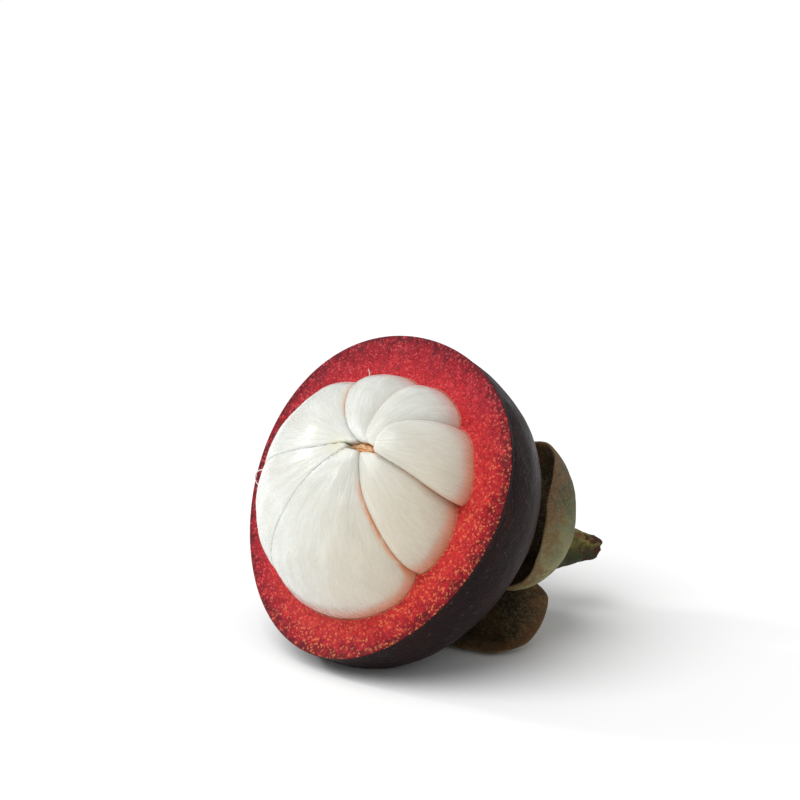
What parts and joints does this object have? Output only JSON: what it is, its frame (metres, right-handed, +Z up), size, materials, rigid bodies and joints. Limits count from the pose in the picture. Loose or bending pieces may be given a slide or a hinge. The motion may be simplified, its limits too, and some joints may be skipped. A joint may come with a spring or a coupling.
{
  "type": "mangosteen fruit",
  "caption": "Opened mangosteen: half a thick red rind with its whole ball of white segments, cupped sepals and a stub of stem, lying on its side.",
  "frame": {"origin": "under the middle of the fruit, on the surface that it lies on", "axes": "+Z up as the fruit lies; the cut faces forward, up and to the left (-Y, +Z, -X), and the stem points back and to the right"},
  "size_m": [0.0696, 0.064, 0.0583],
  "materials": {
    "rind": "semi-gloss near-black purple skin over moist crimson pith",
    "flesh": "wet, translucent white",
    "sepal": "matt, finely woolly olive green with brown margins",
    "stem": "ridged green, dry and brown at the end"
  },
  "bodies": {
    "root": {"rind": "rind", "segment_1": "flesh", "segment_2": "flesh", "segment_3": "flesh", "segment_4": "flesh", "segment_5": "flesh", "segment_6": "flesh", "segment_7": "flesh", "sepal_right": "sepal", "sepal_top": "sepal", "sepal_left": "sepal", "sepal_bottom": "sepal", "stem": "stem"}
  },
  "joints": []
}
